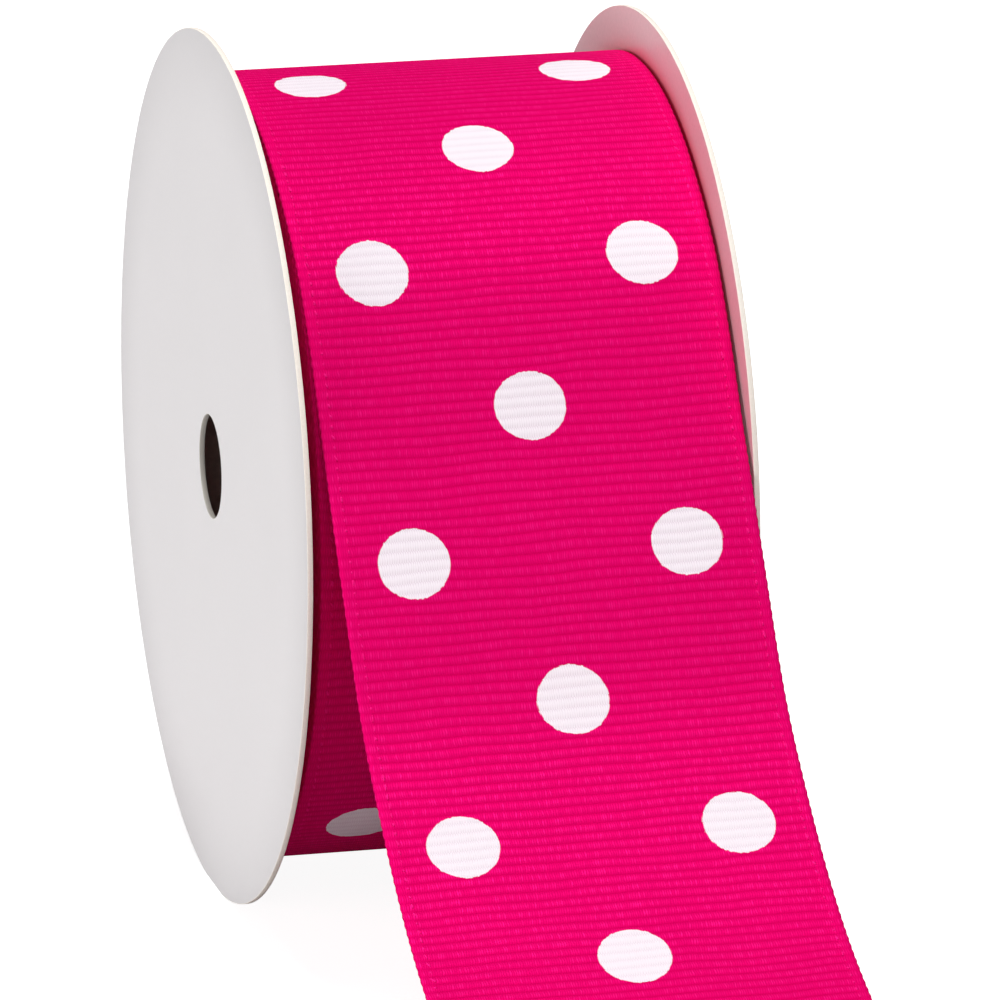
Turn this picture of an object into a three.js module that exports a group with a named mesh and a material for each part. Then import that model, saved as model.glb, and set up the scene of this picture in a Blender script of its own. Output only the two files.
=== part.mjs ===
// A spool of wide grosgrain ribbon. Two thin card flanges stand on a card core tube, the ribbon is
// wound between them, and its loose end leaves the front of the roll and sweeps forward and down
// until it lies on the surface that the spool stands on.
//
// Millimetres. Every piece is drawn in the profile frame of the spool, seen along its axle: local X
// is front to back with the front at -X, local Y is up, local Z is the axle, and the origin is the
// middle of the axle. One turn of the whole group then lays the axle along world X with +Z up.

import * as THREE from "three";

// The spool
const flangeDiameter = 80;
const flangeThickness = 0.5;
const flangeGap = 40;
const spindleHoleDiameter = 9.5;
const coreDiameter = 32;
const coreWall = 1;
const restingFlatWidth = 8;

// The ribbon. It is wound a little nearer the right flange.
const ribbonWidth = 38.1;
const rollDiameter = 71.8;
const ribbonShift = 0.6;

// The loose end is a sheet, thicker than the cloth so that it is a sound solid.
const tailThickness = 1;
const tailFlatLength = 8;
const tailStepLength = 1.5;

// The course of the loose end: how far its outer face looks up, in degrees, where 0 is upright and
// 90 is lying flat. The first tilt is where it leaves the roll, and each next one is a step further.
const courseStep = 12;
const courseTilts = [38, 36, 34, 37.5, 48.5, 57.5, 70, 72];

// Gaps between pieces, and how finely round shapes are stepped
const clearance = 0.3;
const circleSteps = 128;
const recessTurn = 32;

const flangeRadius = flangeDiameter / 2;
const rollRadius = rollDiameter / 2;
const coreRadius = coreDiameter / 2;
const axleHeight = Math.sqrt(flangeRadius ** 2 - (restingFlatWidth / 2) ** 2);
const leaveAngle = courseTilts[0];

const { degToRad, radToDeg, lerp, smoothstep } = THREE.MathUtils;

// A point at a radius from the axle. The angle is in degrees, 0 at the front and 90 at the top.
function around(radius, degrees) {
  const angle = degToRad(degrees);
  return new THREE.Vector2(-radius * Math.cos(angle), radius * Math.sin(angle));
}

function circularHole(radius) {
  return new THREE.Path().absarc(0, 0, radius, 0, 2 * Math.PI, true);
}

// A flat profile stretched along the axle, with its middle at the place given.
function alongAxle(profile, length, middle) {
  const options = { depth: length, bevelEnabled: false, curveSegments: circleSteps / 2 };
  return new THREE.ExtrudeGeometry(profile, options).translate(0, 0, middle - length / 2);
}

// A round plate with the spindle hole, and a short flat on its rim where the spool stands.
function flangeGeometry(middle) {
  const halfFlat = Math.asin(restingFlatWidth / 2 / flangeRadius);
  const profile = new THREE.Shape();
  profile.absarc(0, 0, flangeRadius, -Math.PI / 2 + halfFlat, 1.5 * Math.PI - halfFlat, false);
  profile.holes.push(circularHole(spindleHoleDiameter / 2));
  return alongAxle(profile, flangeThickness, middle);
}

// A plain tube, wider than the spindle hole, so that the inside of the spool is hollow and dark.
function coreGeometry() {
  const profile = new THREE.Shape();
  profile.absarc(0, 0, coreRadius, 0, 2 * Math.PI, false);
  profile.holes.push(circularHole(coreRadius - coreWall));
  return alongAxle(profile, flangeGap - 2 * clearance, 0);
}

// The wound ribbon. Its outline steps in where the loose end leaves it, by the thickness of that
// sheet and a gap, and swells back to the full radius over the next stretch below.
function rollGeometry() {
  const step = tailThickness + clearance;
  const outline = [around(rollRadius, leaveAngle)];
  for (let i = 0; i < circleSteps; i++) {
    const turned = (360 * i) / circleSteps;
    const recess = step * (1 - smoothstep(turned, 0, recessTurn));
    outline.push(around(rollRadius - recess, leaveAngle - turned));
  }
  const profile = new THREE.Shape(outline);
  profile.holes.push(circularHole(coreRadius + clearance));
  return alongAxle(profile, ribbonWidth, ribbonShift);
}

// The tilt of the loose end at a distance along its course.
function courseTilt(distance) {
  const place = distance / courseStep;
  const row = Math.min(Math.floor(place), courseTilts.length - 2);
  return lerp(courseTilts[row], courseTilts[row + 1], place - row);
}

// The stations of the loose end's outer face, from the roll to the cut end: its course, then one
// arc that brings it down level with the surface, then a short stretch lying flat.
function tailStations() {
  const point = around(rollRadius, leaveAngle);
  const stations = [];

  // Goes on along the ribbon in short straight steps, each at the tilt of its own middle.
  function run(length, stepCount, tiltAt) {
    const step = length / stepCount;
    for (let i = 0; i < stepCount; i++) {
      const tilt = degToRad(tiltAt((i + 0.5) * step));
      point.x -= step * Math.sin(tilt);
      point.y -= step * Math.cos(tilt);
      stations.push({ x: point.x, y: point.y, tilt: tiltAt((i + 1) * step) });
    }
  }

  run(clearance, 1, () => leaveAngle);
  const courseLength = courseStep * (courseTilts.length - 1) - clearance;
  run(courseLength, Math.round(courseLength / tailStepLength), (d) => courseTilt(d + clearance));

  const lastTilt = courseTilts[courseTilts.length - 1];
  const drop = point.y + axleHeight - tailThickness;
  const landingRadius = drop / (1 - Math.sin(degToRad(lastTilt)));
  const landingLength = landingRadius * degToRad(90 - lastTilt);
  const landingSteps = Math.round(landingLength / tailStepLength);
  run(landingLength, landingSteps, (d) => lastTilt + radToDeg(d / landingRadius));
  point.y = tailThickness - axleHeight;
  stations[stations.length - 1].y = point.y;
  run(tailFlatLength, 1, () => 90);
  return stations;
}

// A flat strip bent along the stations, which give its outer face.
function tailGeometry() {
  const stations = tailStations();
  const count = stations.length - 1;
  const strip = new THREE.BoxGeometry(count, tailThickness, ribbonWidth, count, 1, 1);
  const corners = strip.getAttribute("position");
  for (let i = 0; i < corners.count; i++) {
    const station = stations[Math.round(corners.getX(i) + count / 2)];
    const inward = around(corners.getY(i) - tailThickness / 2, station.tilt);
    corners.setXYZ(i, station.x + inward.x, station.y + inward.y, ribbonShift - corners.getZ(i));
  }
  strip.computeVertexNormals();
  return strip;
}

const whiteCard = () => new THREE.MeshStandardMaterial({ color: 0xdfdbdc, roughness: 0.45, metalness: 0 });
const rawBoard = () => new THREE.MeshStandardMaterial({ color: 0xad968d, roughness: 0.95, metalness: 0 });
const pinkCloth = () => new THREE.MeshStandardMaterial({ color: 0xdb045f, roughness: 0.6, metalness: 0 });

function addPiece(group, name, geometry, material) {
  const piece = new THREE.Mesh(geometry, material);
  piece.name = name;
  group.add(piece);
}

const profileFrame = new THREE.Group();
profileFrame.rotation.set(Math.PI / 2, Math.PI / 2, 0);
const flangeMiddle = flangeGap / 2 + flangeThickness / 2;
addPiece(profileFrame, "flange_left", flangeGeometry(-flangeMiddle), whiteCard());
addPiece(profileFrame, "flange_right", flangeGeometry(flangeMiddle), whiteCard());
addPiece(profileFrame, "core", coreGeometry(), rawBoard());
addPiece(profileFrame, "ribbon_roll", rollGeometry(), pinkCloth());
addPiece(profileFrame, "ribbon_tail", tailGeometry(), pinkCloth());

// The origin is the middle of the footprint, on the surface that the spool stands on.
const spool = new THREE.Group();
spool.add(profileFrame);
const box = new THREE.Box3().setFromObject(spool, true);
const middle = box.getCenter(new THREE.Vector3());
profileFrame.position.set(-middle.x, -middle.y, -box.min.z);

export default spool;
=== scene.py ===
# %% [markdown]
# A spool of grosgrain ribbon
#
# The lesson dresses a plain model of a ribbon spool. Two thin card discs stand on the surface with
# a tube between them, a wide ribbed ribbon is wound on the tube, and its loose end sweeps forward
# and down. The plain model gives every size and place, so the first step is to load it.

# %% Load the frame
import math

import bmesh
import bpy
import numpy as np
from mathutils import Matrix, Vector


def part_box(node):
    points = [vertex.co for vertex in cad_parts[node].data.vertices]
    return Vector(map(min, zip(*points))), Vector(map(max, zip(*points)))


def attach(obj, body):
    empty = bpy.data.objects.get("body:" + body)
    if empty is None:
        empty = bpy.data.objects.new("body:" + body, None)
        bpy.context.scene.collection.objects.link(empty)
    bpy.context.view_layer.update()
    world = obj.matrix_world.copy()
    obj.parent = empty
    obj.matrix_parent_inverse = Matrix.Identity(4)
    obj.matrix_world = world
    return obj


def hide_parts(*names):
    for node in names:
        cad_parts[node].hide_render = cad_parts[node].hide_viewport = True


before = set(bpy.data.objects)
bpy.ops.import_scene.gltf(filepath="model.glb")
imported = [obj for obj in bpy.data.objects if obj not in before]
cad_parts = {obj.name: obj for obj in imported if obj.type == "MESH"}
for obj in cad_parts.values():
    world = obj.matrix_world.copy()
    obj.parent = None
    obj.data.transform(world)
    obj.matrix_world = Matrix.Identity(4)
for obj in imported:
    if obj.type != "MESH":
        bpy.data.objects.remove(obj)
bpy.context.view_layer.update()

MM = 0.001
print("nodes:", sorted(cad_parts))

# %% [markdown]
# Sizes
#
# A spool is round, so most of its sizes are radii about one line, the axle. The discs' boxes give
# the axle's place and the disc's radius, and the ribbon's box gives its width. What the boxes don't
# say, such as how thick the cloth is, is named here in millimetres.

# %% Sizes of the spool
left_low, left_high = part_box("flange_left")
right_low, right_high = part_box("flange_right")
tail_low, tail_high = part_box("ribbon_tail")
core_low, core_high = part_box("core")
DISC_RADIUS = (left_high.y - left_low.y) / 2
AXLE_Y = (left_high.y + left_low.y) / 2
AXLE_Z = left_high.z - DISC_RADIUS
RIBBON_WIDTH = tail_high.x - tail_low.x
STRIP_SHIFT = 0.09 * MM
RIBBON_MIDDLE = (tail_high.x + tail_low.x) / 2 + STRIP_SHIFT
ROLL_RADIUS = 35.9 * MM
CORE_RADIUS = (core_high.z - core_low.z) / 2
SPINDLE_HOLE_RADIUS = 4.75 * MM
CLOTH_THICKNESS = 0.34 * MM
LAYER_PITCH = 0.36 * MM
print("disc radius", DISC_RADIUS / MM, "axle height", AXLE_Z / MM, "ribbon width", RIBBON_WIDTH / MM)

# %% [markdown]
# Building blocks
#
# Materials and Geometry Nodes are both trees of nodes. These helpers add one node and feed its
# inputs, so that a formula in the lesson reads nearly like a formula on paper. The last ones start
# a material and put an object into the scene.

# %% Helpers for nodes, materials and objects


def put(tree, kind, inputs=(), **settings):
    """Adds a node, sets its settings, and feeds its inputs, by place or by name."""
    node = tree.nodes.new(kind)
    for name, value in settings.items():
        setattr(node, name, value)
    pairs = inputs.items() if isinstance(inputs, dict) else enumerate(inputs)
    for key, value in pairs:
        if isinstance(value, bpy.types.NodeSocket):
            tree.links.new(value, node.inputs[key])
        elif value is not None:
            node.inputs[key].default_value = value
    return node


def calc(tree, operation, *values):
    """A Math node's result."""
    return put(tree, "ShaderNodeMath", values, operation=operation).outputs[0]


def vector_calc(tree, operation, *values):
    """A Vector Math node's result."""
    return put(tree, "ShaderNodeVectorMath", values, operation=operation).outputs[0]


def ramp(tree, value, low, high, smooth=True):
    """0 below low and 1 above high, with a soft or a straight way between."""
    kind = "SMOOTHSTEP" if smooth else "LINEAR"
    node = put(tree, "ShaderNodeMapRange", {"Value": value, "From Min": low, "From Max": high},
               interpolation_type=kind)
    return node.outputs["Result"]


def blend(tree, share, first, second, kind="MIX"):
    """Two colours mixed by a share."""
    node = put(tree, "ShaderNodeMix", data_type="RGBA", blend_type=kind)
    feeds = ((0, share), (6, first), (7, second))
    for place, value in feeds:
        if isinstance(value, bpy.types.NodeSocket):
            tree.links.new(value, node.inputs[place])
        else:
            node.inputs[place].default_value = value
    return node.outputs[2]


def between(tree, share, first, second):
    """Two numbers mixed by a share."""
    return put(tree, "ShaderNodeMix", {"Factor": share, 2: first, 3: second}, data_type="FLOAT").outputs[0]


def toned(tree, plain, tone):
    """A colour made a little lighter or darker by a number near 1."""
    grey = put(tree, "ShaderNodeCombineColor", [tone, tone, tone]).outputs[0]
    return blend(tree, 1.0, plain, grey, "MULTIPLY")


def emboss(tree, shader, height, strength, distance):
    """Lets a height show in how the surface catches the light."""
    relief = put(tree, "ShaderNodeBump", {"Strength": strength, "Distance": distance, "Height": height})
    tree.links.new(relief.outputs[0], shader.inputs["Normal"])


def add_sockets(tree, inputs, outputs):
    """Named inputs and outputs for a node group. Each row is a name, a kind and a value."""
    for name, kind, value in inputs:
        socket = tree.interface.new_socket(name, in_out="INPUT", socket_type="NodeSocket" + kind)
        if value is not None:
            socket.default_value = value
    for name, kind in outputs:
        tree.interface.new_socket(name, in_out="OUTPUT", socket_type="NodeSocket" + kind)
    return tree.nodes.new("NodeGroupInput").outputs, tree.nodes.new("NodeGroupOutput").inputs


def colour(red, green, blue):
    """A colour as it looks on a screen, from 0 to 255, turned to the light it stands for."""
    parts = [value / 255 for value in (red, green, blue)]
    light = [p / 12.92 if p <= 0.04045 else ((p + 0.055) / 1.055) ** 2.4 for p in parts]
    return (*light, 1.0)


def new_material(name):
    """A plain material, with its tree and its shader."""
    material = bpy.data.materials.new(name)
    material.use_nodes = True
    return material, material.node_tree, material.node_tree.nodes["Principled BSDF"]


def add_object(name, data):
    """Puts a mesh, a lamp or a camera into the scene."""
    made = bpy.data.objects.new(name, data)
    bpy.context.scene.collection.objects.link(made)
    return made


# %% [markdown]
# The ribbon's course
#
# The ribbon is one long strip. Seen along the axle, its outer face follows a spiral, leaves the
# roll on a straight line above the front, and then bends slowly forward until it lies flat. A point
# on the course is named by its distance along the ribbon from the top of the roll: positive
# towards the loose end, negative back round the roll.
#
# The loose end's bend is a short table of tilts: how far its outer face looks up, 0 upright and 90
# lying flat, one row for each step along it. Real cloth is never as smooth as such a table. It
# stands off a little where it leaves the roll and sags a little further on, so two soft waves are
# added to it.

# %% The course of the loose end
COURSE_STEP = 12 * MM
COURSE_TILTS = [38, 36, 34, 37.5, 48.5, 57.5, 70, 72]
SOLID_TAIL_THICKNESS = 1 * MM
TAIL_FLAT_LENGTH = 8 * MM
SETTLING_START = 70 * MM
LEAVE_ANGLE = COURSE_TILTS[0]
LEAVE_DISTANCE = ROLL_RADIUS * math.radians(90 - LEAVE_ANGLE)
# Each wave's first and last distance, and how far it stands out.
SOFT_WAVES = [(20 * MM, 50 * MM, 0.65 * MM), (60 * MM, 84 * MM, -0.3 * MM)]


def soft_step(value, low, high):
    """0 below low, 1 above high, and a smooth way between."""
    share = min(max((value - low) / (high - low), 0), 1)
    return share * share * (3 - 2 * share)


def trace_loose_end(step=0.05 * MM):
    """Distance, y, z and tilt of the outer face, from the leave line to the cut end."""
    y = AXLE_Y - ROLL_RADIUS * math.cos(math.radians(LEAVE_ANGLE))
    z = AXLE_Z + ROLL_RADIUS * math.sin(math.radians(LEAVE_ANGLE))
    rows = [(0.0, y, z, float(LEAVE_ANGLE))]

    def go(length, tilt_at):
        count = round(length / step)
        for i in range(count):
            done, y, z, _ = rows[-1]
            tilt = math.radians(tilt_at((i + 0.5) * length / count))
            y -= length / count * math.sin(tilt)
            z -= length / count * math.cos(tilt)
            rows.append((done + length / count, y, z, tilt_at((i + 1) * length / count)))

    marks = [COURSE_STEP * i for i in range(len(COURSE_TILTS))]
    go(marks[-1], lambda d: float(np.interp(d, marks, COURSE_TILTS)))
    last_tilt = COURSE_TILTS[-1]
    drop = rows[-1][2] - SOLID_TAIL_THICKNESS
    bend = drop / (1 - math.sin(math.radians(last_tilt)))
    go(bend * math.radians(90 - last_tilt), lambda d: last_tilt + math.degrees(d / bend))
    go(TAIL_FLAT_LENGTH, lambda d: 90.0)
    return np.array(rows)


loose_end = trace_loose_end()
TAIL_LENGTH = loose_end[-1, 0]
END_DISTANCE = LEAVE_DISTANCE + TAIL_LENGTH
settle = [soft_step(d, SETTLING_START, TAIL_LENGTH - TAIL_FLAT_LENGTH) for d in loose_end[:, 0]]
loose_end[:, 2] -= (SOLID_TAIL_THICKNESS - CLOTH_THICKNESS) * np.array(settle)
print("loose end", round(TAIL_LENGTH / MM, 1), "mm, ends at y", round(loose_end[-1, 1] / MM, 2))

# %% [markdown]
# On the roll, the outermost turn has to slip under itself where it began. So its radius stays the
# same over the top, the back and underneath, and then shrinks by one layer on the way up the
# front. Every turn further in does the same, one layer lower.

# %% The course on the roll
TUCK_START, TUCK_END = 300, 360 + LEAVE_ANGLE


def roll_radius(degrees):
    """The outer face's radius at an angle that grows back round the roll, turn after turn."""
    turns = max(0, math.ceil((degrees - TUCK_END) / 360))
    tuck = soft_step(degrees - 360 * turns, TUCK_START, TUCK_END)
    return ROLL_RADIUS - LAYER_PITCH * (turns + tuck)


def soft_wave(distance):
    """How far the cloth stands off its smooth course."""
    return sum(height * math.sin(math.pi * (distance - first) / (last - first)) ** 2
               for first, last, height in SOFT_WAVES if first < distance < last)


def course_point(distance):
    """The outer face's place and its outward direction, both as (y, z), at a distance."""
    if distance > LEAVE_DISTANCE:
        y, z, tilt = (np.interp(distance - LEAVE_DISTANCE, loose_end[:, 0], loose_end[:, i])
                      for i in (1, 2, 3))
        angle = math.radians(tilt)
        radius = 0.0
    else:
        degrees = 90 - math.degrees(distance / ROLL_RADIUS)
        angle = math.radians(degrees)
        y, z, radius = AXLE_Y, AXLE_Z, roll_radius(degrees)
    outward = (-math.cos(angle), math.sin(angle))
    away = radius + soft_wave(distance)
    return (y + away * outward[0], z + away * outward[1]), outward


# %% [markdown]
# A strip that follows the course
#
# Grosgrain is woven with thick cords across the ribbon, and fine yarns pass over and under them,
# so both faces have ribs. Nearly four hundred ribs show, which is work for Geometry Nodes. The
# tree takes a row of points along the course and a section across the ribbon, and makes a grid
# that wraps the section round at every row. Each row is then raised or lowered by the rib it
# lies on. The rows lean a little, because the cords of this ribbon don't lie quite square to its
# edges, and they wander a little, because no cord is quite straight.

# %% Weave sizes
RIB_PITCH = 0.965 * MM
RIB_HEIGHT = 0.043 * MM
RIB_LEAN = math.radians(0.8)
RIB_WANDER = 0.75 * MM
WANDERS_A_METRE = 140.0
ROWS_A_RIB = 6
SELVAGE_WIDTH = 1.05 * MM
SELVAGE_RELIEF = 0.2
EDGE_SCALLOP = 0.03 * MM
SCALLOP_REACH = 0.45 * MM
HALF_WIDTH = RIBBON_WIDTH / 2


# %% The tree that weaves a strip


def make_strip_tree():
    tree = bpy.data.node_groups.new("Ribbed strip", "GeometryNodeTree")
    given, result = add_sockets(tree, (
        ("Course", "Geometry", None), ("Section", "Object", None), ("Middle", "Float", 0.0),
        ("Rib Pitch", "Float", RIB_PITCH), ("Rib Height", "Float", RIB_HEIGHT),
        ("Lean", "Float", math.tan(RIB_LEAN)), ("Wander", "Float", RIB_WANDER),
        ("Half Width", "Float", HALF_WIDTH), ("Selvage Width", "Float", SELVAGE_WIDTH),
        ("Scallop", "Float", EDGE_SCALLOP), ("Thickness", "Float", CLOTH_THICKNESS),
        ("Material", "Material", None),
    ), (("Geometry", "Geometry"),))

    section = put(tree, "GeometryNodeObjectInfo", [given["Section"]]).outputs["Geometry"]
    rows = put(tree, "GeometryNodeAttributeDomainSize", [given["Course"]]).outputs["Point Count"]
    columns = put(tree, "GeometryNodeAttributeDomainSize", [section]).outputs["Point Count"]
    grid = put(tree, "GeometryNodeMeshGrid", {
        "Vertices X": calc(tree, "ADD", columns, 1), "Vertices Y": rows})
    index = put(tree, "GeometryNodeInputIndex").outputs[0]
    row = calc(tree, "MODULO", index, rows)
    column = calc(tree, "MODULO", calc(tree, "FLOOR", calc(tree, "DIVIDE", index, rows)), columns)

    def sample(source, value, at, kind):
        return put(tree, "GeometryNodeSampleIndex", {0: source, 1: value, 2: at},
                   data_type=kind, domain="POINT").outputs[0]

    def stored(name, kind):
        return put(tree, "GeometryNodeInputNamedAttribute", {"Name": name}, data_type=kind).outputs[0]

    position = put(tree, "GeometryNodeInputPosition").outputs[0]
    place = sample(given["Course"], position, row, "FLOAT_VECTOR")
    outward = sample(given["Course"], stored("outward", "FLOAT_VECTOR"), row, "FLOAT_VECTOR")
    along = sample(given["Course"], stored("along", "FLOAT"), row, "FLOAT")
    closing = sample(given["Course"], stored("closing", "FLOAT"), row, "FLOAT")
    corner = put(tree, "ShaderNodeSeparateXYZ", [sample(section, position, column, "FLOAT_VECTOR")])
    across, depth = corner.outputs["X"], corner.outputs["Y"]

    # A rib is broad and round, with a narrow valley beside it. It is much lower in the selvage, and
    # it pushes the edge out a little.
    turns = calc(tree, "DIVIDE", along, given["Rib Pitch"])
    wave = calc(tree, "COSINE", calc(tree, "MULTIPLY", turns, 2 * math.pi))
    crest = calc(tree, "ABSOLUTE", calc(tree, "COSINE", calc(tree, "MULTIPLY", turns, math.pi)))
    from_edge = calc(tree, "SUBTRACT", given["Half Width"], calc(tree, "ABSOLUTE", across))
    body = put(tree, "ShaderNodeMapRange", {
        "Value": from_edge, "From Min": calc(tree, "MULTIPLY", given["Selvage Width"], 0.8),
        "From Max": calc(tree, "MULTIPLY", given["Selvage Width"], 1.1),
        "To Min": SELVAGE_RELIEF, "To Max": 1.0}, interpolation_type="SMOOTHSTEP").outputs["Result"]
    valley = calc(tree, "MULTIPLY", calc(tree, "SUBTRACT", 1.0, crest),
                  calc(tree, "MULTIPLY", given["Rib Height"], body))
    middle_depth = calc(tree, "MULTIPLY", given["Thickness"], -0.5)
    side = calc(tree, "SIGN", calc(tree, "SUBTRACT", depth, middle_depth))
    lowered = calc(tree, "SUBTRACT", depth, calc(tree, "MULTIPLY", side, valley))
    flattened = between(tree, closing, lowered, middle_depth)
    at_edge = ramp(tree, from_edge, SCALLOP_REACH, 0.0)
    pushed = calc(tree, "MULTIPLY", calc(tree, "MULTIPLY", wave, given["Scallop"]),
                  calc(tree, "MULTIPLY", at_edge, calc(tree, "SIGN", across)))
    wide = calc(tree, "ADD", across, pushed)

    # The lean moves a corner along the ribbon, by its place across it. The wander is a soft noise.
    flat_place = put(tree, "ShaderNodeCombineXYZ", [across, along]).outputs[0]
    noise = put(tree, "ShaderNodeTexNoise", {
        "Vector": flat_place, "Scale": WANDERS_A_METRE, "Detail": 1.0})
    wander = calc(tree, "MULTIPLY", calc(tree, "SUBTRACT", noise.outputs[0], 0.5), given["Wander"])
    slip = calc(tree, "MULTIPLY_ADD", across, given["Lean"], wander)
    sideways = put(tree, "ShaderNodeCombineXYZ", [calc(tree, "ADD", wide, given["Middle"])]).outputs[0]
    axle = put(tree, "ShaderNodeCombineXYZ", [1.0]).outputs[0]
    forward = vector_calc(tree, "CROSS_PRODUCT", outward, axle)
    raised = put(tree, "ShaderNodeVectorMath", {0: outward, "Scale": flattened}, operation="SCALE")
    slipped = put(tree, "ShaderNodeVectorMath", {0: forward, "Scale": slip}, operation="SCALE")
    moved = vector_calc(tree, "ADD", place, sideways)
    moved = vector_calc(tree, "ADD", moved, raised.outputs[0])
    moved = vector_calc(tree, "ADD", moved, slipped.outputs[0])
    shaped = put(tree, "GeometryNodeSetPosition", {"Geometry": grid.outputs["Mesh"], "Position": moved})

    cloth_place = put(tree, "ShaderNodeCombineXYZ", [across, along, side])
    kept = put(tree, "GeometryNodeStoreNamedAttribute", {
        "Geometry": shaped.outputs[0], "Name": "cloth_place", "Value": cloth_place.outputs[0]},
        data_type="FLOAT_VECTOR", domain="POINT")
    merged = put(tree, "GeometryNodeMergeByDistance", {"Geometry": kept.outputs[0], "Distance": 1e-6})
    smooth = put(tree, "GeometryNodeSetShadeSmooth", [merged.outputs[0]])
    real = put(tree, "GeometryNodeRealizeInstances", [smooth.outputs[0]])
    finished = put(tree, "GeometryNodeSetMaterial", {
        "Geometry": real.outputs[0], "Material": given["Material"]})
    tree.links.new(finished.outputs[0], result["Geometry"])
    return tree


strip_tree = make_strip_tree()
print("strip tree has", len(strip_tree.nodes), "nodes")

# %% [markdown]
# Points for the trees
#
# A tree reads its rows from a mesh that is only points. Each point carries what the tree needs to
# know there, such as which way is outward, as a named attribute.

# %% Helpers that make meshes


def points_mesh(name, places, attributes):
    """An object of bare points. Each attribute is a name, a kind and its values."""
    mesh = bpy.data.meshes.new(name)
    mesh.from_pydata(places, [], [])
    for label, kind, values in attributes:
        field = "vector" if kind == "FLOAT_VECTOR" else "value"
        stored = mesh.attributes.new(label, kind, "POINT")
        stored.data.foreach_set(field, np.array(values, np.float32).ravel())
    return add_object(name, mesh)


def grow(base, tree, values, name):
    """Runs a Geometry Nodes tree on an object once, and keeps the result as a plain mesh."""
    modifier = base.modifiers.new("Grow", "NODES")
    modifier.node_group = tree
    for item in tree.interface.items_tree:
        if item.in_out == "INPUT" and item.name in values:
            modifier[item.identifier] = values[item.name]
    bpy.context.view_layer.update()
    evaluated = base.evaluated_get(bpy.context.evaluated_depsgraph_get())
    mesh = bpy.data.meshes.new_from_object(evaluated)
    mesh.name = name
    made = add_object(name, mesh)
    old = base.data
    bpy.data.objects.remove(base)
    bpy.data.meshes.remove(old)
    mesh.calc_loop_triangles()
    print(name, "has", len(mesh.loop_triangles), "triangles")
    return made


def course_object(name, distances, alongs):
    """The course as points, closed to an edge at its first and last row."""
    places, outwards = [], []
    for distance in distances:
        place, outward = course_point(distance)
        places.append((0, *place))
        outwards.append((0, *outward))
    closing = np.zeros(len(places))
    closing[[0, -1]] = 1
    return points_mesh(name, places, (
        ("outward", "FLOAT_VECTOR", outwards), ("along", "FLOAT", alongs), ("closing", "FLOAT", closing)))


def section_object(name, outer_steps, inner_steps, thickness):
    """A closed outline across the ribbon: its outer face, right edge, inner face and left edge."""
    outer = [(-s, 0, 0) for s in outer_steps] + [(s, 0, 0) for s in reversed(outer_steps) if s > 0]
    inner = [(s, -thickness, 0) for s in inner_steps] + [
        (-s, -thickness, 0) for s in reversed(inner_steps) if s > 0]
    left, right = (-HALF_WIDTH, -thickness / 2, 0), (HALF_WIDTH, -thickness / 2, 0)
    return points_mesh(name, [left, *outer, right, *inner], ())


# %% [markdown]
# Shading the weave
#
# Close up, each rib is wrapped in fine yarns that run along the ribbon. In one rib the odd yarns
# lie on top, in the next the even ones, so the rows of yarn are staggered. This is a node group,
# because the wound turns and the loose end both use it. It reads the place in the weave, which the
# strip carries as an attribute: how far across the ribbon and how far along it, in metres.

# %% The weave as a node group
YARN_PITCH = 0.215 * MM
YARN_WANDER, YARN_WANDERS_A_METRE = 1.1, 1100.0


def make_weave_group():
    tree = bpy.data.node_groups.new("Grosgrain weave", "ShaderNodeTree")
    given, result = add_sockets(tree, (
        ("Place", "Vector", None), ("Rib Pitch", "Float", RIB_PITCH), ("Yarn Pitch", "Float", YARN_PITCH),
        ("Half Width", "Float", HALF_WIDTH), ("Selvage Width", "Float", SELVAGE_WIDTH),
    ), (("Rib", "Float"), ("Yarn", "Float"), ("Selvage", "Float"), ("Height", "Float"),
        ("Cell", "Vector")))
    place = put(tree, "ShaderNodeSeparateXYZ", [given["Place"]])
    across, along = place.outputs["X"], place.outputs["Y"]
    ribs = calc(tree, "DIVIDE", along, given["Rib Pitch"])
    rib = calc(tree, "ABSOLUTE", calc(tree, "COSINE", calc(tree, "MULTIPLY", ribs, math.pi)))
    rib_number = calc(tree, "FLOOR", calc(tree, "ADD", ribs, 0.5))
    stagger = calc(tree, "MULTIPLY", calc(tree, "MODULO", calc(tree, "ABSOLUTE", rib_number), 2.0), 0.5)

    # Yarns wander a little, and no two are quite alike.
    noise = put(tree, "ShaderNodeTexNoise", {
        "Vector": given["Place"], "Scale": YARN_WANDERS_A_METRE, "Detail": 1.0})
    drift = calc(tree, "MULTIPLY", calc(tree, "SUBTRACT", noise.outputs[0], 0.5), YARN_WANDER)
    yarns = calc(tree, "ADD", calc(tree, "DIVIDE", across, given["Yarn Pitch"]),
                 calc(tree, "ADD", stagger, drift))
    yarn = calc(tree, "ABSOLUTE", calc(tree, "SINE", calc(tree, "MULTIPLY", yarns, math.pi)))
    yarn_number = calc(tree, "FLOOR", yarns)
    cell = put(tree, "ShaderNodeCombineXYZ", [yarn_number, rib_number]).outputs[0]

    from_edge = calc(tree, "SUBTRACT", given["Half Width"], calc(tree, "ABSOLUTE", across))
    selvage = calc(tree, "LESS_THAN", from_edge, given["Selvage Width"])
    height = calc(tree, "MULTIPLY_ADD", rib, 0.35, calc(tree, "MULTIPLY", yarn, 0.65))
    for name, value in (("Rib", rib), ("Yarn", yarn), ("Selvage", selvage), ("Height", height),
                        ("Cell", cell)):
        tree.links.new(value, result[name])
    return tree


weave_group = make_weave_group()

# %% [markdown]
# Printed dots
#
# The dots are a common repeat: a pair near the edges, then one in the middle, evenly spaced. A
# repeat can be worked out instead of drawn, by folding the ribbon's length into one stretch with a
# modulo and measuring how far a point is from the nearest dot's centre. The rows of dots lean a
# little more than the ribs do. The print's edge steps along the yarns, because ink stops where a
# yarn dives under a rib.

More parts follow.
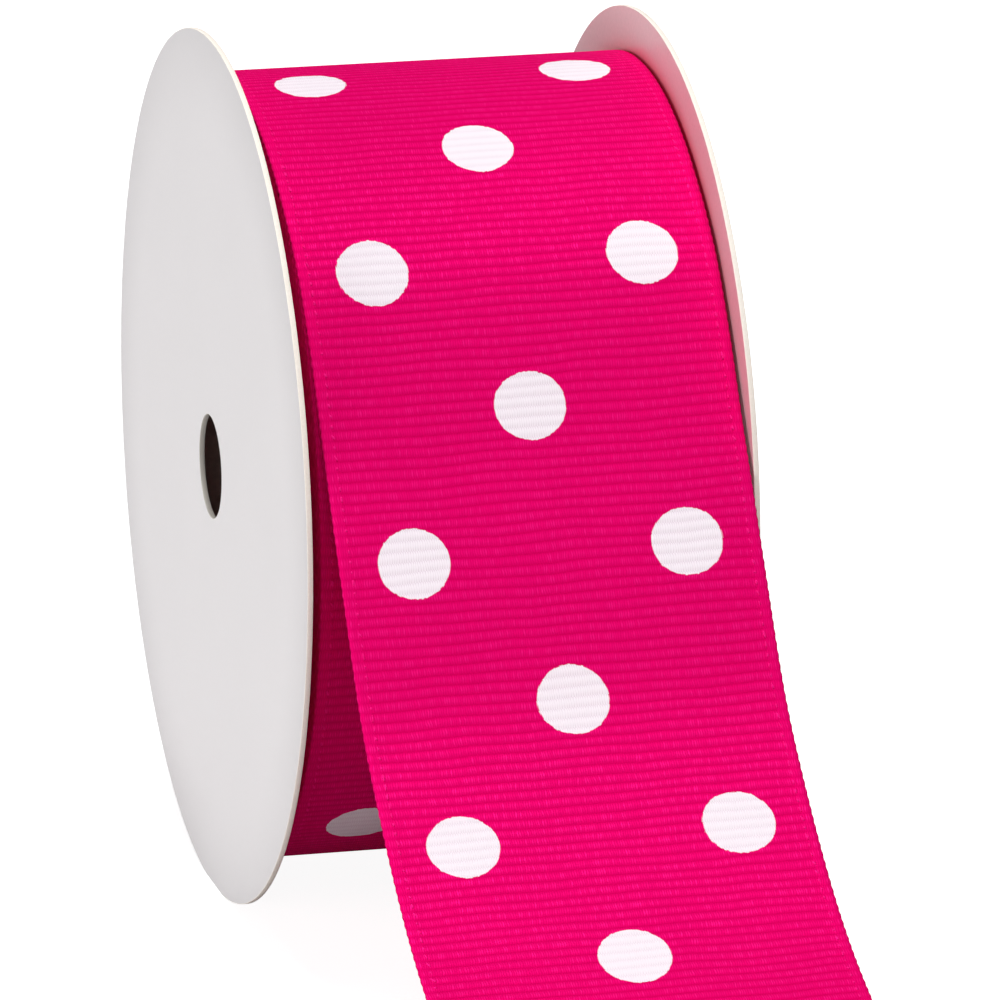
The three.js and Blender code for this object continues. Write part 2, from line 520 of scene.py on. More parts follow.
# %% The dots as a node group
DOT_DIAMETER = 6.475 * MM
DOT_ROW_SPACING = 27.4 * MM
FIRST_PAIR = 2.7 * MM
PAIR_OFFSET = 12.34 * MM
PRINT_LEAN = math.radians(1.26) - RIB_LEAN
DOT_EDGE_STEP = 0.09 * MM
DOT_EDGE_BLUR = 0.04 * MM


def make_dots_group():
    tree = bpy.data.node_groups.new("Printed dots", "ShaderNodeTree")
    given, result = add_sockets(tree, (
        ("Place", "Vector", None), ("Cell", "Vector", None), ("Diameter", "Float", DOT_DIAMETER),
        ("Row Spacing", "Float", DOT_ROW_SPACING), ("First Pair", "Float", FIRST_PAIR),
        ("Pair Offset", "Float", PAIR_OFFSET), ("Lean", "Float", math.tan(PRINT_LEAN)),
        ("Edge Step", "Float", DOT_EDGE_STEP),
    ), (("Mask", "Float"),))
    place = put(tree, "ShaderNodeSeparateXYZ", [given["Place"]])
    across, along = place.outputs["X"], place.outputs["Y"]
    straight = calc(tree, "ADD", along, calc(tree, "MULTIPLY", across, given["Lean"]))
    rows = calc(tree, "DIVIDE", calc(tree, "SUBTRACT", straight, given["First Pair"]),
                given["Row Spacing"])

    def off_row(shift):
        """How far along the ribbon the nearest dot row is, for rows shifted by a share."""
        folded = calc(tree, "FLOORED_MODULO", calc(tree, "ADD", rows, shift + 0.5), 1.0)
        return calc(tree, "MULTIPLY", calc(tree, "SUBTRACT", folded, 0.5), given["Row Spacing"])

    def away(x, y):
        return calc(tree, "SQRT", calc(tree, "ADD", calc(tree, "MULTIPLY", x, x),
                                       calc(tree, "MULTIPLY", y, y)))

    beside = calc(tree, "SUBTRACT", calc(tree, "ABSOLUTE", across), given["Pair Offset"])
    nearest = calc(tree, "MINIMUM", away(beside, off_row(0.0)), away(across, off_row(0.5)))
    ragged = put(tree, "ShaderNodeTexWhiteNoise", {"Vector": given["Cell"]}, noise_dimensions="3D")
    nearest = calc(tree, "ADD", nearest, calc(tree, "MULTIPLY", given["Edge Step"], calc(
        tree, "SUBTRACT", ragged.outputs["Value"], 0.5)))
    radius = calc(tree, "MULTIPLY", given["Diameter"], 0.5)
    mask = ramp(tree, nearest, calc(tree, "ADD", radius, DOT_EDGE_BLUR),
                calc(tree, "SUBTRACT", radius, DOT_EDGE_BLUR), smooth=False)
    tree.links.new(mask, result["Mask"])
    return tree


dots_group = make_dots_group()

# %% [markdown]
# The cloth's material
#
# Polyester grosgrain is a strong even pink with a soft sheen. Where a yarn crosses the top of a rib
# it catches more light, some yarns more than others, and that glint is also painted into the colour
# as a lighter pink. Between the ribs and between the yarns the colour is a deeper pink, which is
# painted shade for the light that is lost there as it bounces from pink to pink. The selvage is
# evener. The ink is white, dull, and slightly thinner between the yarns. A faint fuzz of loose fibre
# ends shows where the cloth is seen edge on. The shader's plain gloss is off, because at a low angle
# it turns the cloth nearly white, and the soft sheen comes from a little metal instead.

# %% The pink cloth
# The valley and gap pinks are painted shade, and the yarn pink is a painted glint.
PINK_CREST = colour(231, 4, 105)
PINK_VALLEY_SHADE = colour(208, 1, 87)
PINK_YARN_GLINT = colour(254, 32, 140)
PINK_GAP_SHADE = colour(204, 0, 80)
INK_CREST = colour(247, 238, 245)
INK_VALLEY = colour(230, 214, 225)
CLOTH_ROUGHNESS = 0.38
DULL_SHEEN, YARN_SHEEN = 0.02, 0.13
CLOTH_FUZZ, CLOTH_FUZZ_SPREAD = 0.03, 0.35
CLOTH_FUZZ_TINT = (1.0, 0.7, 0.8, 1.0)
CLOTH_GLOSS = 0.0
CLOTH_GLOSS_TINT = (1.0, 0.0, 0.5, 1.0)
GAP_SHADE_SHARE = 0.55
GLINT_SHARE, GLINT_LEAST, GLINT_SPREAD = 0.75, 0.18, 0.75
CLOUD_DEPTH, CLOUDS_A_METRE = 0.12, 60.0


def make_cloth(name, printed):
    """The ribbon's cloth, with or without the dots on its outer face."""
    material, tree, shader = new_material(name)
    place = put(tree, "ShaderNodeAttribute", attribute_name="cloth_place").outputs["Vector"]
    weave = put(tree, "ShaderNodeGroup", node_tree=weave_group)
    tree.links.new(place, weave.inputs["Place"])
    rib, yarn = weave.outputs["Rib"], weave.outputs["Yarn"]
    each = put(tree, "ShaderNodeTexWhiteNoise", {"Vector": weave.outputs["Cell"]}).outputs["Value"]
    cloud = put(tree, "ShaderNodeTexNoise", {
        "Vector": place, "Scale": CLOUDS_A_METRE, "Detail": 3.0}).outputs[0]

    # The ribs hardly show in the selvage, which is woven flatter, so their painted shade is weaker there.
    ridge = calc(tree, "POWER", rib, 0.6)
    evened = calc(tree, "MULTIPLY_ADD", ridge, 0.4, 0.6)
    ridge = between(tree, weave.outputs["Selvage"], ridge, evened)
    # The valley pink between the ribs is painted shade, the gap pink between the yarns too, and the yarn
    # pink on the lit yarn tops is a painted glint.
    pink = blend(tree, ridge, PINK_VALLEY_SHADE, PINK_CREST)
    gap = calc(tree, "POWER", calc(tree, "SUBTRACT", 1.0, yarn), 1.5)
    pink = blend(tree, calc(tree, "MULTIPLY", gap, GAP_SHADE_SHARE), pink, PINK_GAP_SHADE)
    lit = calc(tree, "MULTIPLY", calc(tree, "POWER", yarn, 2.0), calc(tree, "MULTIPLY", rib, rib))
    glint = calc(tree, "MULTIPLY_ADD", calc(tree, "POWER", each, 2.0), GLINT_SPREAD, GLINT_LEAST)
    lit = calc(tree, "MULTIPLY", lit, glint)
    pink = blend(tree, calc(tree, "MULTIPLY", lit, GLINT_SHARE), pink, PINK_YARN_GLINT)
    sheen = calc(tree, "MULTIPLY_ADD", lit, YARN_SHEEN, DULL_SHEEN)
    tone = calc(tree, "MULTIPLY_ADD", calc(tree, "SUBTRACT", cloud, 0.5), CLOUD_DEPTH, 1.0)
    pink = toned(tree, pink, tone)
    if printed:
        dots = put(tree, "ShaderNodeGroup", node_tree=dots_group)
        tree.links.new(place, dots.inputs["Place"])
        tree.links.new(weave.outputs["Cell"], dots.inputs["Cell"])
        outer = calc(tree, "GREATER_THAN", put(tree, "ShaderNodeSeparateXYZ", [place]).outputs["Z"], 0.0)
        thin = calc(tree, "MULTIPLY", calc(tree, "SUBTRACT", 1.0, yarn),
                    calc(tree, "SUBTRACT", 1.15, rib))
        ink = blend(tree, thin, INK_CREST, INK_VALLEY)
        mask = calc(tree, "MULTIPLY", dots.outputs["Mask"], outer)
        pink = blend(tree, mask, pink, ink)
        sheen = calc(tree, "MULTIPLY", sheen, calc(tree, "SUBTRACT", 1.0, mask))
    tree.links.new(pink, shader.inputs["Base Color"])
    tree.links.new(sheen, shader.inputs["Metallic"])
    emboss(tree, shader, weave.outputs["Height"], 0.5, 0.03 * MM)
    shader.inputs["Roughness"].default_value = CLOTH_ROUGHNESS
    shader.inputs["Specular IOR Level"].default_value = CLOTH_GLOSS
    shader.inputs["Specular Tint"].default_value = CLOTH_GLOSS_TINT
    shader.inputs["Sheen Weight"].default_value = CLOTH_FUZZ
    shader.inputs["Sheen Roughness"].default_value = CLOTH_FUZZ_SPREAD
    shader.inputs["Sheen Tint"].default_value = CLOTH_FUZZ_TINT
    return material


printed_cloth = make_cloth("Printed grosgrain", True)
plain_cloth = make_cloth("Plain grosgrain", False)
print("cloth materials ready")

# %% [markdown]
# The outermost turn and the loose end
#
# They are one piece of ribbon, so they are one strip. It starts tucked under the leave line, goes
# once round the roll and runs on to the cut end. The print on the hidden side of the roll falls a
# little short of the bare distance, because the turn beneath lies on a slightly smaller circle.

# %% The printed strip
TUCKED_LENGTH = 12 * MM
BACK_TURN_START = -20 * MM
BACK_TURN_TAKE_UP = 0.975
EDGE_STEPS = [HALF_WIDTH - step * MM for step in (0.12, 0.45, 0.85, 1.0, 1.15)]
BODY_STEPS = [step * MM for step in (16.8, 14.4, 12.0, 9.6, 7.2, 4.8, 2.4, 0.0)]
INNER_STEPS = [EDGE_STEPS[0], EDGE_STEPS[1], EDGE_STEPS[-1], 12 * MM, 6 * MM, 0]


def printed_distance(distance):
    """Where on the flat, printed ribbon a distance along the course lies."""
    if distance > BACK_TURN_START:
        return distance
    return BACK_TURN_START + (distance - BACK_TURN_START) * BACK_TURN_TAKE_UP


start_distance = LEAVE_DISTANCE - 2 * math.pi * ROLL_RADIUS - TUCKED_LENGTH
row_count = round((END_DISTANCE - start_distance) / (RIB_PITCH / ROWS_A_RIB))
strip_distances = np.linspace(start_distance, END_DISTANCE, row_count)
strip_course = course_object("strip_course", strip_distances,
                             [printed_distance(d) for d in strip_distances])
strip_section = section_object("strip_section", EDGE_STEPS + BODY_STEPS, INNER_STEPS, CLOTH_THICKNESS)
ribbon = grow(strip_course, strip_tree, {
    "Section": strip_section, "Middle": RIBBON_MIDDLE, "Material": printed_cloth}, "ribbon_strip")

# %% [markdown]
# The wound turns
#
# Under the outermost turn lie some fifty more. Only their edges can be seen, through the narrow
# gaps beside the discs, so they are a true spiral of the same strip, with plain faces and just
# enough steps to be round.

# %% The inner turns
STEPS_A_TURN = 96
first_degrees = 90 - math.degrees(start_distance / ROLL_RADIUS)
turn_count = int((ROLL_RADIUS - CORE_RADIUS) / LAYER_PITCH) - 2
wound_degrees = np.linspace(first_degrees + 360 * turn_count, first_degrees, STEPS_A_TURN * turn_count)
wound_distances = [ROLL_RADIUS * math.radians(90 - degrees) for degrees in wound_degrees]
wound_radii = np.array([roll_radius(degrees) for degrees in wound_degrees])
turn_lengths = wound_radii * math.radians(360 / STEPS_A_TURN)
wound_course = course_object("wound_course", wound_distances, np.cumsum(turn_lengths))
wound_section = section_object("wound_section", EDGE_STEPS[:1], EDGE_STEPS[:1], CLOTH_THICKNESS)
wound = grow(wound_course, strip_tree, {
    "Section": wound_section, "Middle": RIBBON_MIDDLE, "Rib Height": 0.0, "Wander": 0.0,
    "Scallop": 0.0, "Material": plain_cloth}, "ribbon_wound")
for section in (strip_section, wound_section):
    bpy.data.objects.remove(section)

# %% [markdown]
# Stitches along the selvage
#
# A ribbon is woven with a firm edge, the selvage, and a line of short floats marks where it meets
# the ribs: one small light stitch for each rib, on both edges. They are copies of one little bead,
# so a second tree places a bead on each point, turns it along the ribbon, and varies it with a
# fixed seed.

# %% The tree that sets stitches
STITCH_LENGTH, STITCH_WIDTH, STITCH_HEIGHT = 0.64 * MM, 0.21 * MM, 0.09 * MM
STITCH_SLANT = math.radians(14)
STITCH_SEED = 7


def make_stitch_tree():
    tree = bpy.data.node_groups.new("Selvage stitches", "GeometryNodeTree")
    given, result = add_sockets(tree, (
        ("Points", "Geometry", None), ("Length", "Float", STITCH_LENGTH),
        ("Width", "Float", STITCH_WIDTH), ("Height", "Float", STITCH_HEIGHT),
        ("Slant", "Float", STITCH_SLANT), ("Seed", "Int", STITCH_SEED), ("Material", "Material", None),
    ), (("Geometry", "Geometry"),))
    bead = put(tree, "GeometryNodeMeshUVSphere", {"Segments": 6, "Rings": 4, "Radius": 0.5})
    size = put(tree, "ShaderNodeCombineXYZ", [given["Width"], given["Length"], given["Height"]])
    shaped = put(tree, "GeometryNodeTransform", {
        "Geometry": bead.outputs["Mesh"], "Scale": size.outputs[0]})
    outward = put(tree, "GeometryNodeInputNamedAttribute", {"Name": "outward"},
                  data_type="FLOAT_VECTOR").outputs[0]
    forward = put(tree, "GeometryNodeInputNamedAttribute", {"Name": "forward"},
                  data_type="FLOAT_VECTOR").outputs[0]
    turned = put(tree, "FunctionNodeAxesToRotation", {0: outward, 1: forward},
                 primary_axis="Z", secondary_axis="Y")
    set_down = put(tree, "GeometryNodeInstanceOnPoints", {
        "Points": given["Points"], "Instance": shaped.outputs[0], "Rotation": turned.outputs[0]})

    def vary(low, high, seed_step):
        """A random number for each stitch."""
        node = put(tree, "FunctionNodeRandomValue", data_type="FLOAT")
        feeds = {socket.name: socket for socket in node.inputs if socket.enabled}
        feeds["Min"].default_value = low
        feeds["Max"].default_value = high
        tree.links.new(calc(tree, "ADD", given["Seed"], seed_step), feeds["Seed"])
        return [socket for socket in node.outputs if socket.enabled][0]

    angle = put(tree, "ShaderNodeCombineXYZ", {
        "Z": calc(tree, "ADD", given["Slant"], vary(-0.35, 0.35, 0))}).outputs[0]
    slanted = put(tree, "GeometryNodeRotateInstances", {
        "Instances": set_down.outputs[0], "Rotation": angle})
    uneven = put(tree, "ShaderNodeCombineXYZ", [
        vary(0.6, 1.3, 1), vary(0.3, 1.3, 2), vary(0.4, 1.2, 3)]).outputs[0]
    scaled = put(tree, "GeometryNodeScaleInstances", {
        "Instances": slanted.outputs[0], "Scale": uneven})
    real = put(tree, "GeometryNodeRealizeInstances", [scaled.outputs[0]])
    smooth = put(tree, "GeometryNodeSetShadeSmooth", [real.outputs[0]])
    finished = put(tree, "GeometryNodeSetMaterial", {
        "Geometry": smooth.outputs[0], "Material": given["Material"]})
    tree.links.new(finished.outputs[0], result["Geometry"])
    return tree


# %% The stitches
# The stitch pink is the cloth's pink made lighter: a painted highlight on the raised floats.
PINK_STITCH_HIGHLIGHT = colour(255, 40, 146)
THREAD_ROUGHNESS = 0.45


def make_stitch_thread():
    """Twisted polyester thread: the same pink with a painted highlight that makes it a little lighter, and
    its own fine twist.
    """
    material, tree, shader = new_material("Stitch thread")
    place = put(tree, "ShaderNodeTexCoord").outputs["Object"]
    twist = put(tree, "ShaderNodeTexNoise", {"Vector": place, "Scale": 9000.0, "Detail": 1.0}).outputs[0]
    tree.links.new(blend(tree, twist, PINK_CREST, PINK_STITCH_HIGHLIGHT), shader.inputs["Base Color"])
    emboss(tree, shader, twist, 0.3, 0.02 * MM)
    shader.inputs["Roughness"].default_value = THREAD_ROUGHNESS
    shader.inputs["Metallic"].default_value = YARN_SHEEN
    shader.inputs["Specular IOR Level"].default_value = CLOTH_GLOSS
    shader.inputs["Specular Tint"].default_value = CLOTH_GLOSS_TINT
    return material


def stitch_points():
    """A point for each rib on both edges of the strip, just outside its outer face."""
    places, outwards, forwards = [], [], []
    first_rib = math.ceil(printed_distance(start_distance + TUCKED_LENGTH) / RIB_PITCH)
    last_rib = math.floor((END_DISTANCE - RIB_PITCH) / RIB_PITCH)
    printed = [printed_distance(d) for d in strip_distances]
    for across in (SELVAGE_WIDTH - HALF_WIDTH, HALF_WIDTH - SELVAGE_WIDTH):
        slip = across * math.tan(RIB_LEAN)
        for rib in range(first_rib, last_rib):
            distance = float(np.interp(rib * RIB_PITCH, printed, strip_distances)) - slip
            (y, z), (out_y, out_z) = course_point(distance)
            places.append((RIBBON_MIDDLE + across, y, z))
            outwards.append((0, out_y, out_z))
            forwards.append((0, out_z, -out_y))
    return places, outwards, forwards


stitch_places, stitch_outwards, stitch_forwards = stitch_points()
stitch_base = points_mesh("stitch_points", stitch_places, (
    ("outward", "FLOAT_VECTOR", stitch_outwards), ("forward", "FLOAT_VECTOR", stitch_forwards)))
stitches = grow(stitch_base, make_stitch_tree(), {"Material": make_stitch_thread()},
                "selvage_stitches")
print(len(stitch_places), "stitches")

# %% [markdown]
# Card for the discs
#
# The discs are thin paperboard, coated smooth and white outside, barer inside, and cut by a die.
# The cut edge shows the pulp, a little warmer and rougher than the coat. The outer face gets darker
# towards its rim, which is painted shade, and the wall of the spindle hole is painted a greyer shade
# than the rim. The inner face is pinkish, and pinker beside the roll: a painted reflection, which
# stands in for the light that the ribbon throws on it. One group gives the paper's grain to every
# finish.

# %% The grain of paper
CARD_FACE = colour(236, 232, 233)
# A darker colour for the rim: painted shade.
CARD_RIM_SHADE = colour(222, 218, 219)
# The inside colours hold a painted pink reflection of the ribbon's light on off-white card.
CARD_INSIDE_AND_BOUNCE = colour(224, 189, 194)
CARD_PAINTED_BOUNCE = colour(242, 36, 98)
CARD_CUT = colour(253, 247, 239)
CARD_CUT_FIBRE = colour(238, 229, 217)
# A greyer colour for the hole's wall: painted shade.
CARD_HOLE_SHADE = colour(205, 199, 191)


def make_paper_group():
    tree = bpy.data.node_groups.new("Paper grain", "ShaderNodeTree")
    given, result = add_sockets(tree, (
        ("Place", "Vector", None), ("Fibre Scale", "Float", 2500.0), ("Cloud Scale", "Float", 120.0),
    ), (("Fibre", "Float"), ("Cloud", "Float")))
    fibre = put(tree, "ShaderNodeTexNoise", {
        "Vector": given["Place"], "Scale": given["Fibre Scale"], "Detail": 4.0, "Roughness": 0.6})
    cloud = put(tree, "ShaderNodeTexNoise", {
        "Vector": given["Place"], "Scale": given["Cloud Scale"], "Detail": 2.0})
    tree.links.new(fibre.outputs[0], result["Fibre"])
    tree.links.new(cloud.outputs[0], result["Cloud"])
    return tree


paper_group = make_paper_group()

# %% The coated face and the cut edge
# The outer face is darker towards its rim: painted shade.
RIM_SHADE_FROM, RIM_SHADE_TO = 31 * MM, 40.5 * MM
# The inner face is pinker beside the roll: a painted reflection of the ribbon's pink light.
BOUNCE_FROM, BOUNCE_TO = ROLL_RADIUS + 2.2 * MM, ROLL_RADIUS - 0.4 * MM
# Near the axle the hole's wall is a greyer colour: painted shade.
HOLE_SHADE_WITHIN = SPINDLE_HOLE_RADIUS + 1 * MM
CARD_CLOUD_DEPTH = 0.03
CARD_ROUGH_LEAST, CARD_ROUGH_SPREAD = 0.30, 0.10


def paper_material(name, fibre_scale, cloud_scale):
    """A material with a paper grain in it, ready to be coloured."""
    material, tree, shader = new_material(name)
    place = put(tree, "ShaderNodeTexCoord").outputs["Object"]
    grain = put(tree, "ShaderNodeGroup", node_tree=paper_group)
    tree.links.new(place, grain.inputs["Place"])
    grain.inputs["Fibre Scale"].default_value = fibre_scale
    grain.inputs["Cloud Scale"].default_value = cloud_scale
    return material, tree, shader, place, grain


def from_axle(tree, place):
    """How far a place is from the axle."""
    centred = put(tree, "ShaderNodeMapping", {
        "Vector": place, "Location": (0, -AXLE_Y, -AXLE_Z), "Scale": (0, 1, 1)})
    return put(tree, "ShaderNodeVectorMath", [centred.outputs[0]], operation="LENGTH").outputs["Value"]


def make_card_face(name, plain, painted_light, painted_light_from, painted_light_to, softness, grain_depth):
    """A face of the card, which goes from its plain colour to a painted shade or a painted reflection
    between two radii.
    """
    material, tree, shader, place, grain = paper_material(name, 2500.0, 90.0)
    # The share of painted shade or painted reflection, by the radius.
    reach = ramp(tree, from_axle(tree, place), painted_light_from, painted_light_to, smooth=False)
    mark = calc(tree, "POWER", reach, softness)
    card = blend(tree, mark, plain, painted_light)
    tone = 1.0
    for part, depth in (("Cloud", CARD_CLOUD_DEPTH), ("Fibre", grain_depth)):
        tone = calc(tree, "MULTIPLY_ADD", calc(tree, "SUBTRACT", grain.outputs[part], 0.5), depth, tone)
    tree.links.new(toned(tree, card, tone), shader.inputs["Base Color"])
    emboss(tree, shader, grain.outputs["Fibre"], 0.15, 0.02 * MM)
    rough = calc(tree, "MULTIPLY_ADD", grain.outputs["Cloud"], CARD_ROUGH_SPREAD, CARD_ROUGH_LEAST)
    tree.links.new(rough, shader.inputs["Roughness"])
    shader.inputs["Specular IOR Level"].default_value = 0.5
    return material


def make_cut_card():
    material, tree, shader, place, grain = paper_material("Cut card edge and hole shade", 5000.0, 1500.0)
    card = blend(tree, grain.outputs["Fibre"], CARD_CUT_FIBRE, CARD_CUT)
    # The hole's wall gets the painted shade colour.
    in_hole_shade = calc(tree, "LESS_THAN", from_axle(tree, place), HOLE_SHADE_WITHIN)
    card = blend(tree, in_hole_shade, card, CARD_HOLE_SHADE)
    tree.links.new(card, shader.inputs["Base Color"])
    emboss(tree, shader, grain.outputs["Fibre"], 0.6, 0.04 * MM)
    shader.inputs["Roughness"].default_value = 0.9
    shader.inputs["Specular IOR Level"].default_value = 0.1
    return material


coated_card_and_rim_shade = make_card_face("Coated card and painted rim shade", CARD_FACE, CARD_RIM_SHADE, RIM_SHADE_FROM, RIM_SHADE_TO, 1.6, 0.04)
inside_card_and_bounce = make_card_face("Inside card and painted bounce", CARD_INSIDE_AND_BOUNCE, CARD_PAINTED_BOUNCE, BOUNCE_FROM, BOUNCE_TO, 2.5, 0.25)
cut_card_and_hole_shade = make_cut_card()

# %% [markdown]
# The discs
#
# A disc is a ring of card: its section is a thin rectangle with tiny rounded corners, turned round
# the axle. A spin would do it, but a die leaves the edge slightly ragged, so each corner of the
# mesh is worked out with a small wave of its own. Where the disc stands on the surface, its rim is
# pressed to a short flat.

# %% Two discs
DISC_STEPS = 720
CORNER_ROUND = 0.05 * MM
RAGGED = 0.025 * MM
COATED, CUT, INSIDE = 0, 1, 2


def ring_section(inner, outer, thickness):
    """The corners of the disc's section as (radius, place through the card, is a cut edge)."""
    r, bow = CORNER_ROUND, 0.3 * CORNER_ROUND
    return [
        (inner + r, 0, False), (outer - r, 0, False), (outer - bow, bow, True),
        (outer, r, True), (outer, thickness - r, True), (outer - bow, thickness - bow, True),
        (outer - r, thickness, False), (inner + r, thickness, False),
        (inner + bow, thickness - bow, True), (inner, thickness - r, True),
        (inner, r, True), (inner + bow, bow, True)]


def ragged_edge(angle, phase):
    """A small closed wave, made of a few that go evenly into a turn."""
    waves = ((61, 0.5), (137, 0.8), (223, 1.0))
    full = sum(size for _, size in waves)
    return sum(size * math.sin(count * angle + phase * count) for count, size in waves) / full


def make_disc(name, low_x, high_x, phase):
    """One disc, with a coated outer face, a barer inner face, and cut edges."""
    section = ring_section(SPINDLE_HOLE_RADIUS, DISC_RADIUS, high_x - low_x)
    corners, faces, finishes = [], [], []
    for step in range(DISC_STEPS):
        angle = 2 * math.pi * step / DISC_STEPS
        wave = RAGGED * ragged_edge(angle, phase)
        for radius, through, _ in section:
            at_rim = radius > DISC_RADIUS - 2 * CORNER_ROUND
            length = radius - (RAGGED - wave) / 2 if at_rim else radius
            y = AXLE_Y - length * math.cos(angle)
            z = max(AXLE_Z + length * math.sin(angle), 0.0)
            corners.append((low_x + through, y, z))
    count = len(section)
    for step in range(DISC_STEPS):
        here, there = step * count, (step + 1) % DISC_STEPS * count
        for i in range(count):
            j = (i + 1) % count
            faces.append((here + i, here + j, there + j, there + i))
            inner_face = section[i][1] == (0 if low_x > 0 else high_x - low_x)
            cut_face = section[i][2] or section[j][2]
            finishes.append(CUT if cut_face else INSIDE if inner_face else COATED)
    mesh = bpy.data.meshes.new(name)
    mesh.from_pydata(corners, [], faces)
    for material in (coated_card_and_rim_shade, cut_card_and_hole_shade, inside_card_and_bounce):
        mesh.materials.append(material)
    mesh.polygons.foreach_set("material_index", finishes)
    mesh.polygons.foreach_set("use_smooth", [finish == CUT for finish in finishes])
    return add_object(name, mesh)


def face_outwards(piece):
    """Turns a closed piece's faces outwards."""
    work = bmesh.new()
    work.from_mesh(piece.data)
    bmesh.ops.recalc_face_normals(work, faces=work.faces)
    inside_out = work.calc_volume(signed=True) < 0
    if inside_out:
        bmesh.ops.reverse_faces(work, faces=work.faces)
    open_edges = sum(not edge.is_manifold for edge in work.edges)
    work.to_mesh(piece.data)
    work.free()
    print(piece.name, "open edges:", open_edges, "was inside out:", inside_out)


left_disc = make_disc("left_disc", left_low.x, left_high.x, 0.7)
right_disc = make_disc("right_disc", right_low.x, right_high.x, 1.9)
for piece in (left_disc, right_disc, ribbon, wound, stitches):
    face_outwards(piece)

# %% [markdown]
# The core
#
# The tube that the ribbon is wound on shows only as a dark hollow behind the spindle hole. Its
# shape in the frame is already right, so it stays and gets the finish of rough board, with the
# seam lines of a tube that is rolled from strips of paper.

# %% The core's board
BOARD_DARK = colour(149, 127, 121)
BOARD_LIGHT = colour(197, 172, 161)


def make_board():
    material, tree, shader, place, grain = paper_material("Rough board", 1800.0, 200.0)
    seams = put(tree, "ShaderNodeTexWave", {"Vector": place, "Scale": 25.0, "Distortion": 1.5})
    mottled = calc(tree, "MULTIPLY", grain.outputs["Fibre"], calc(
        tree, "MULTIPLY_ADD", seams.outputs["Fac"], 0.3, 0.7))
    tree.links.new(blend(tree, mottled, BOARD_DARK, BOARD_LIGHT), shader.inputs["Base Color"])
    emboss(tree, shader, grain.outputs["Fibre"], 0.4, 0.05 * MM)
    shader.inputs["Roughness"].default_value = 0.95
    return material


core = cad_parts["core"]
core.data.materials.clear()
core.data.materials.append(make_board())

# %% [markdown]
# Riding
#
# Nothing on a spool moves here, so every piece rides on the one body. The strip and the wound turns
# stand for the frame's plain solids.

# %% Tie the pieces to the frame
for piece, slot_name in ((ribbon, "ribbon"), (wound, "ribbon"), (stitches, "ribbon"),
                         (left_disc, "flange"), (right_disc, "flange")):
    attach(piece, "root")
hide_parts("ribbon_tail")
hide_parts("ribbon_roll")
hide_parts("flange_left")
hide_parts("flange_right")

# %% [markdown]
# Floor and light
#
# The spool stands on a plain white floor. A white floor throws a lot of light up under the ribbon,
# which would wash out the deep shade there. So the floor is grey to the light, and it glows to the
# eye alone, which makes it look white and keeps the shadow on it faint. That is a trick for a floor
# only: it isn't part of the object.

# %% The floor
FLOOR_SIZE = 6.0
FLOOR_GLOW = 0.93
FLOOR_SEEN, FLOOR_BOUNCE = 0.40, 0.60


def make_floor():
    material, tree, shader = new_material("White floor")
    seen = put(tree, "ShaderNodeLightPath").outputs["Is Camera Ray"]
    tone = put(tree, "ShaderNodeMapRange", {"Value": seen, "To Min": FLOOR_BOUNCE, "To Max": FLOOR_SEEN})
    tree.links.new(tone.outputs["Result"], shader.inputs["Base Color"])
    tree.links.new(calc(tree, "MULTIPLY", seen, FLOOR_GLOW), shader.inputs["Emission Strength"])
    shader.inputs["Emission Color"].default_value = (1, 1, 1, 1)
    shader.inputs["Roughness"].default_value = 1.0
    shader.inputs["Specular IOR Level"].default_value = 0.0
    half = FLOOR_SIZE / 2
    mesh = bpy.data.meshes.new("floor")
    mesh.from_pydata([(-half, -half, 0), (half, -half, 0), (half, half, 0), (-half, half, 0)], [],
                     [(0, 1, 2, 3)])
    mesh.materials.append(material)
    add_object("floor", mesh)


make_floor()

# %% [markdown]
# Light
#
# The light is a studio's. A soft panel right overhead is the main one: the cloth's sheen shows it
# where the ribbon faces halfway between up and the eye. A large weak one is low in front. Two low
# wide panels stand on the left for the near disc's face. They are so low that this disc shades the
# inside of the far one.

# %% The lights
WORLD_LIGHT = 0.03
PANEL_DISTANCE = 1.6
spool_middle = Vector((0, AXLE_Y, AXLE_Z))


def add_panel(name, leftwards, elevation, width, height, watts):
    """A soft lamp aimed at the spool. Leftwards is its angle from the front, to the left."""
    turn, lift = math.radians(leftwards), math.radians(elevation)
    towards = Vector((-math.sin(turn) * math.cos(lift), -math.cos(turn) * math.cos(lift),
                      math.sin(lift)))
    lamp = bpy.data.lights.new(name, "AREA")
    lamp.shape = "RECTANGLE"
    lamp.size, lamp.size_y = width, height
    lamp.energy = watts
    made = add_object(name, lamp)
    made.location = spool_middle + towards * PANEL_DISTANCE
    made.rotation_euler = (-towards).to_track_quat("-Z", "Y").to_euler()


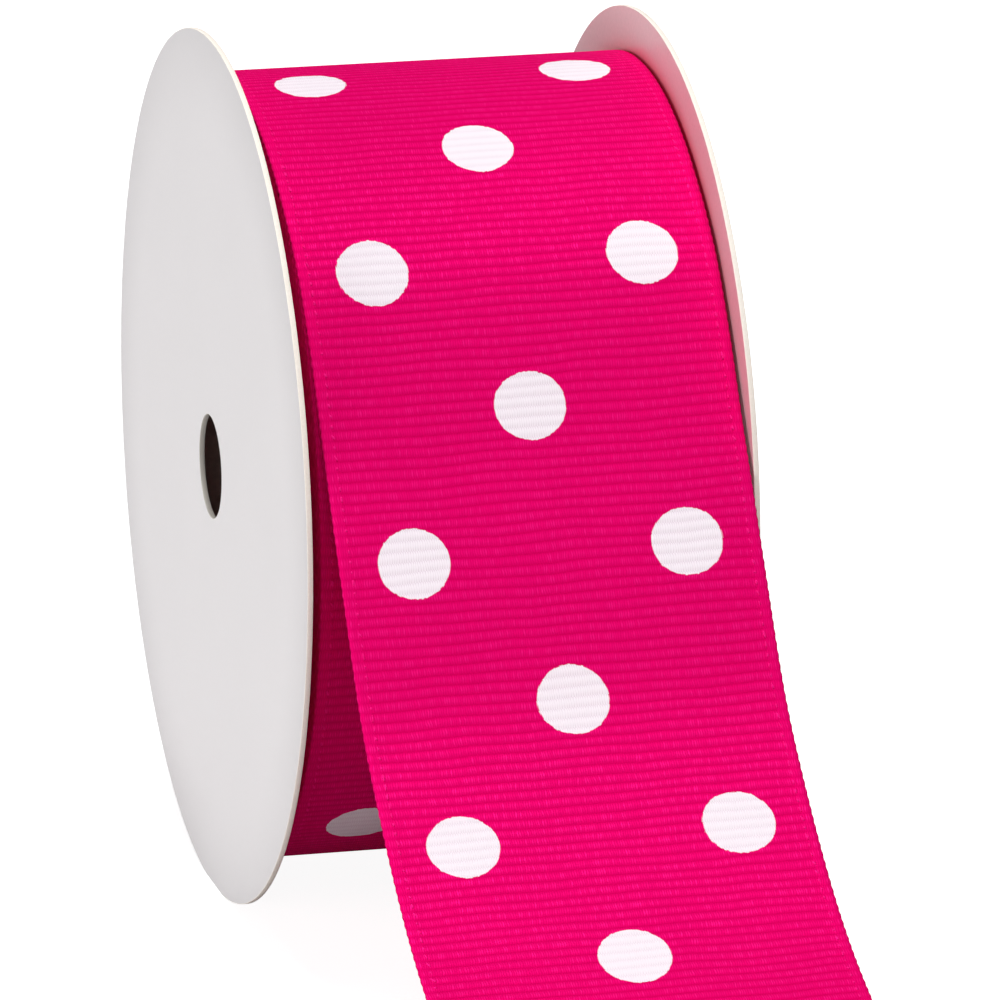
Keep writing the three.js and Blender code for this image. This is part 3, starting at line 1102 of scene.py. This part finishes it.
world = bpy.data.worlds.new("Studio")
world.use_nodes = True
world.node_tree.nodes["Background"].inputs["Strength"].default_value = WORLD_LIGHT
world.node_tree.nodes["Background"].inputs["Color"].default_value = (1, 1, 1, 1)
bpy.context.scene.world = world
add_panel("overhead", 0, 88, 0.7, 0.7, 24.4)
add_panel("front", 0, 15, 1.1, 1.1, 7.2)
add_panel("left", 80, 4.5, 1.6, 0.25, 15.5)
add_panel("left back", 125, 4.5, 1.6, 0.25, 1.5)

# %% [markdown]
# Camera
#
# The photograph was taken from a little above and to the left of the spool's front, from far
# away for the spool's size, so the discs hardly narrow with distance. The camera is placed by
# the view's two angles, the distance to the axle's middle, and where that middle is seen in the
# picture, which is a thousand units wide.

# %% The camera
VIEW_YAW, VIEW_PITCH = math.radians(13.889), math.radians(15.083)
AXLE_DISTANCE = 897.5 * MM
AXLE_SEEN_AT = (429.15, 452.5)
PICTURE = 1000
FOCAL_UNITS = 9796
SENSOR_MM = 36

ahead = Vector((math.sin(VIEW_YAW) * math.cos(VIEW_PITCH), math.cos(VIEW_YAW) * math.cos(VIEW_PITCH),
                -math.sin(VIEW_PITCH)))
rightwards = Vector((math.cos(VIEW_YAW), -math.sin(VIEW_YAW), 0))
upwards = rightwards.cross(ahead)
across_view = (AXLE_SEEN_AT[0] - PICTURE / 2) / FOCAL_UNITS * AXLE_DISTANCE
down_view = (AXLE_SEEN_AT[1] - PICTURE / 2) / FOCAL_UNITS * AXLE_DISTANCE
eye = spool_middle - ahead * AXLE_DISTANCE - rightwards * across_view + upwards * down_view
lens = bpy.data.cameras.new("camera")
lens.sensor_width = SENSOR_MM
lens.lens = FOCAL_UNITS / PICTURE * SENSOR_MM
lens.clip_start, lens.clip_end = 0.05, 20
camera = add_object("camera", lens)
turn = Matrix((rightwards, upwards, -ahead)).transposed()
camera.matrix_world = Matrix.Translation(eye) @ turn.to_4x4()
bpy.context.scene.camera = camera
bpy.context.scene.view_settings.view_transform = "Standard"
print("camera at", [round(value, 4) for value in eye])
